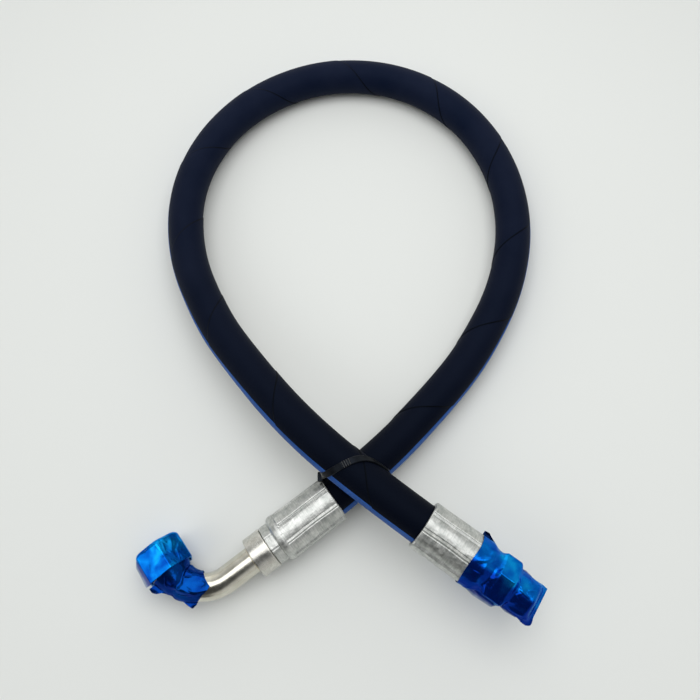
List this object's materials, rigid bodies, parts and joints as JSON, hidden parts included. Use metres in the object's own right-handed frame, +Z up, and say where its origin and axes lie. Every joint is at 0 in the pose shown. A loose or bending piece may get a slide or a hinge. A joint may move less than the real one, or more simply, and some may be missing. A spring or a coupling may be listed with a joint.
{
  "type": "hydraulic hose assembly",
  "caption": "Rubber hydraulic hose bent into a loop and tied where it crosses, with a crimped elbow and swivel nut at one end and a crimped male stem at the other, both capped with shrunk film.",
  "frame": {"origin": "on the surface that the hose rests on, at the middle in plan of the box round the two end fittings", "axes": "+Z up; +X from the elbow end towards the straight end, along the longer side of the box round the fittings; +Y towards the far side of the loop"},
  "size_m": [0.318, 0.5008, 0.0653],
  "materials": {
    "liner_rubber": "matt black synthetic rubber",
    "braid_wire": "bright brass-coated steel wire, braided",
    "cover_rubber": "matt blue-black, faint marks of the curing wrap",
    "stripe": "matt blue",
    "zinc_steel": "machined steel, zinc plated",
    "zinc_ferrule": "satin zinc plate with fine die marks",
    "bright_tube": "bright plated drawn tube",
    "braze": "dull, plated over",
    "seal_rubber": "matt black",
    "film": "thin shrunk film, translucent blue",
    "tie_nylon": "satin black nylon"
  },
  "bodies": {
    "hose_and_ends": {"hose_liner": "liner_rubber", "inner_wire_braid": "braid_wire", "braid_interlayer": "liner_rubber", "outer_wire_braid": "braid_wire", "hose_cover": "cover_rubber", "layline_stripe": "stripe", "elbow_stem": "zinc_steel", "elbow_ferrule": "zinc_ferrule", "elbow_tube": "bright_tube", "stem_braze_ring": "braze", "elbow_nose": "zinc_steel", "nose_braze_ring": "braze", "nose_seal_ring": "seal_rubber", "elbow_film_neck": "film", "straight_stem": "zinc_steel", "straight_ferrule": "zinc_ferrule", "cable_tie": "tie_nylon"},
    "nut": {"swivel_nut": "zinc_steel"},
    "nut_film": {"elbow_film_cap": "film"},
    "thread_film": {"straight_film_capsule": "film"}
  },
  "joints": [
    {"name": "nut_swivel", "type": "hinge", "parent": "hose_and_ends", "child": "nut", "pos_m": [-0.10102, -0.03844, 0.0184], "axis": [-0.6, 0.8, 0], "continuous": true},
    {"name": "elbow_film_cap_slide", "type": "slide", "parent": "nut", "child": "nut_film", "axis": [-0.6, 0.8, 0], "range_m": [0, 0.045], "deforming": ["elbow_film_cap"]},
    {"name": "straight_film_slide", "type": "slide", "parent": "hose_and_ends", "child": "thread_film", "axis": [0.8178, -0.5738, -0.0444], "range_m": [0, 0.065], "deforming": ["straight_film_capsule"]}
  ]
}
